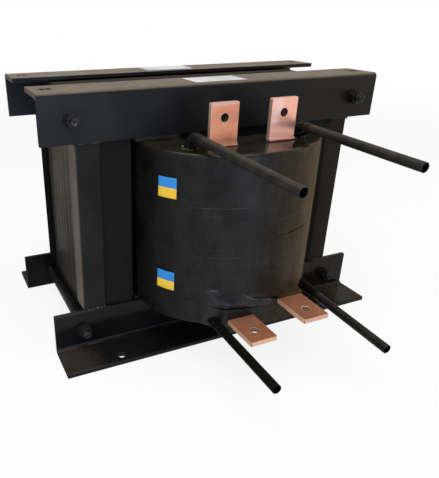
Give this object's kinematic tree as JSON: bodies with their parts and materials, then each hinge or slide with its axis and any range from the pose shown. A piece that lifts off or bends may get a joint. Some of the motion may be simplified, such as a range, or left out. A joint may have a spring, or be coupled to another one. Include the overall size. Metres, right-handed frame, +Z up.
{
  "type": "iron core reactor",
  "caption": "Single winding on a laminated iron core clamped between black steel angles, with copper bar terminals and open tubes at the front.",
  "frame": {"origin": "middle of the base, on the floor, midway between the two lower clamping angles and on the core's middle plane", "axes": "+Z up, -Y towards the side with the terminals, +X to the right when the terminals are faced"},
  "size_m": [0.66, 0.7343, 0.4678],
  "materials": {
    "clamp_enamel": "glossy black enamel",
    "post_enamel": "satin black enamel",
    "core_enamel": "brown-black varnish over stacked sheet edges",
    "winding_resin": "black resin over wound tape",
    "board": "dark varnished board",
    "fastener": "black enamel over steel",
    "copper": "bare brushed copper",
    "tube_sleeve": "black sleeve",
    "tube_tape": "black cotton tape",
    "label": "pale blank label"
  },
  "bodies": {
    "root": {"upper_clamp_front": "clamp_enamel", "upper_clamp_rear": "clamp_enamel", "lower_clamp_front": "clamp_enamel", "lower_clamp_rear": "clamp_enamel", "corner_post_front_left": "post_enamel", "corner_post_front_right": "post_enamel", "corner_post_rear_left": "post_enamel", "corner_post_rear_right": "post_enamel", "core_limb_left": "core_enamel", "core_limb_middle": "core_enamel", "core_limb_right": "core_enamel", "core_yoke_top": "core_enamel", "core_yoke_bottom": "core_enamel", "core_support_left": "post_enamel", "core_support_right": "post_enamel", "winding": "winding_resin", "packing_top_left": "board", "packing_top_right": "board", "packing_bottom_left": "board", "packing_bottom_right": "board", "tie_rod_upper_left": "fastener", "terminal_upper_left": "copper", "tube_upper_left": "tube_sleeve", "tube_wrap_upper_left": "tube_tape", "tie_rod_upper_right": "fastener", "terminal_upper_right": "copper", "tube_upper_right": "tube_sleeve", "tube_wrap_upper_right": "tube_tape", "tie_rod_lower_left": "fastener", "terminal_lower_left": "copper", "tube_lower_left": "tube_sleeve", "tube_wrap_lower_left": "tube_tape", "tie_rod_lower_right": "fastener", "terminal_lower_right": "copper", "tube_lower_right": "tube_sleeve", "tube_wrap_lower_right": "tube_tape", "tie_nuts": "fastener", "tie_washers": "fastener", "rating_label_front": "label", "rating_label_rear": "label"}
  },
  "joints": []
}
